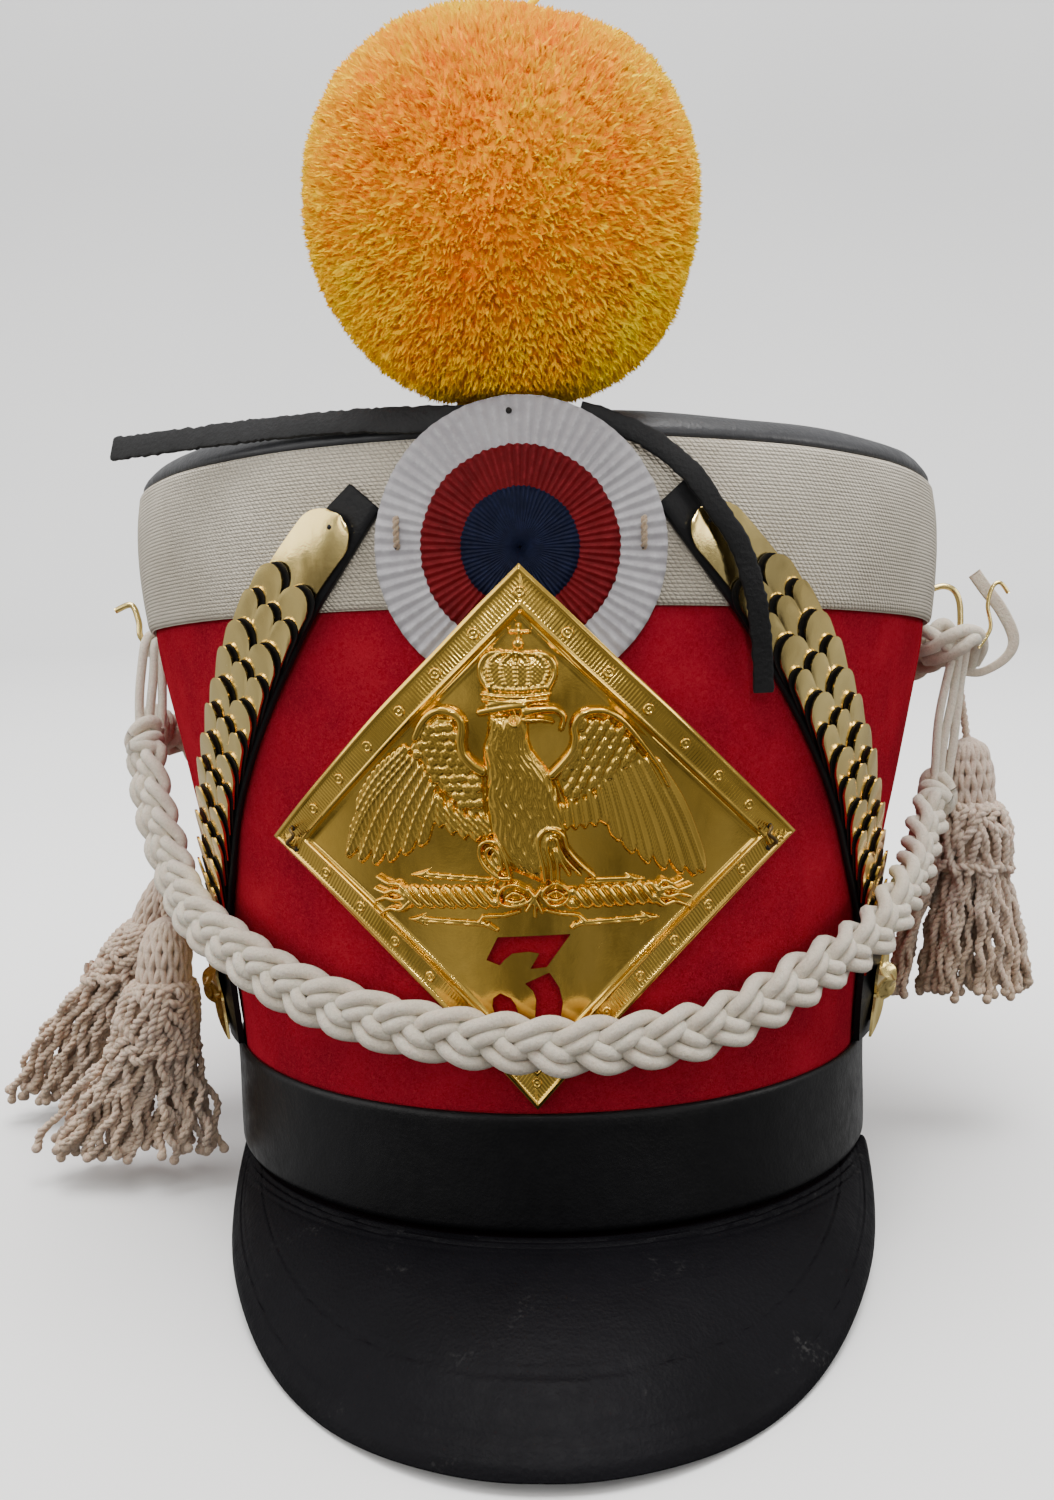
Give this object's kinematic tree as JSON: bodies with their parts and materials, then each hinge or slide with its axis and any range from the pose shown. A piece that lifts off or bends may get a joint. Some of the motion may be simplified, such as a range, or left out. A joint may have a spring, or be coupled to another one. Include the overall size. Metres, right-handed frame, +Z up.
{
  "type": "shako hat",
  "caption": "Red felt shako with a knitted top band, leather crown and peak, cockade, pompom, pierced brass eagle plate, scaled chin straps, braided cords and tassels",
  "frame": {"origin": "on the floor under the middle of the standing hat, without its hanging cords, tassels and laces", "axes": "+Z up, the peak and plate face -Y, and +X is to the right as the front is looked at"},
  "size_m": [0.317, 0.291, 0.3021],
  "materials": {
    "red_felt": "matt wool felt",
    "white_knit": "knitted cotton webbing",
    "black_leather": "satin",
    "white_paint": "matt paint",
    "red_paint": "matt paint",
    "blue_paint": "matt paint",
    "brass": "polished, stamped",
    "white_cord": "braided cotton",
    "tassel_cotton": "crocheted and twisted cotton",
    "orange_wool": "wool pile"
  },
  "bodies": {
    "root": {"boss_left": "brass", "boss_right": "brass", "braid_back": "white_cord", "braid_front": "white_cord", "cockade_blue": "blue_paint", "cockade_red": "red_paint", "cockade_white": "white_paint", "cord_left": "white_cord", "cord_loop": "white_cord", "cord_right": "white_cord", "crown_top": "black_leather", "felt_body": "red_felt", "hook_left": "brass", "hook_right": "brass", "hook_small": "brass", "lace_left": "black_leather", "lace_right": "black_leather", "lower_band": "black_leather", "peak": "black_leather", "plate": "brass", "pompom": "orange_wool", "pompom_stem": "brass", "scale_left_01": "brass", "scale_left_02": "brass", "scale_left_03": "brass", "scale_left_04": "brass", "scale_left_05": "brass", "scale_left_06": "brass", "scale_left_07": "brass", "scale_left_08": "brass", "scale_left_09": "brass", "scale_left_10": "brass", "scale_left_11": "brass", "scale_left_12": "brass", "scale_left_13": "brass", "scale_left_14": "brass", "scale_right_01": "brass", "scale_right_02": "brass", "scale_right_03": "brass", "scale_right_04": "brass", "scale_right_05": "brass", "scale_right_06": "brass", "scale_right_07": "brass", "scale_right_08": "brass", "scale_right_09": "brass", "scale_right_10": "brass", "scale_right_11": "brass", "scale_right_12": "brass", "scale_right_13": "brass", "scale_right_14": "brass", "strap_left": "black_leather", "strap_right": "black_leather", "tassel_left_back": "tassel_cotton", "tassel_left_front": "tassel_cotton", "tassel_right": "tassel_cotton", "tip_left": "brass", "tip_right": "brass", "top_band": "white_knit"}
  },
  "joints": []
}
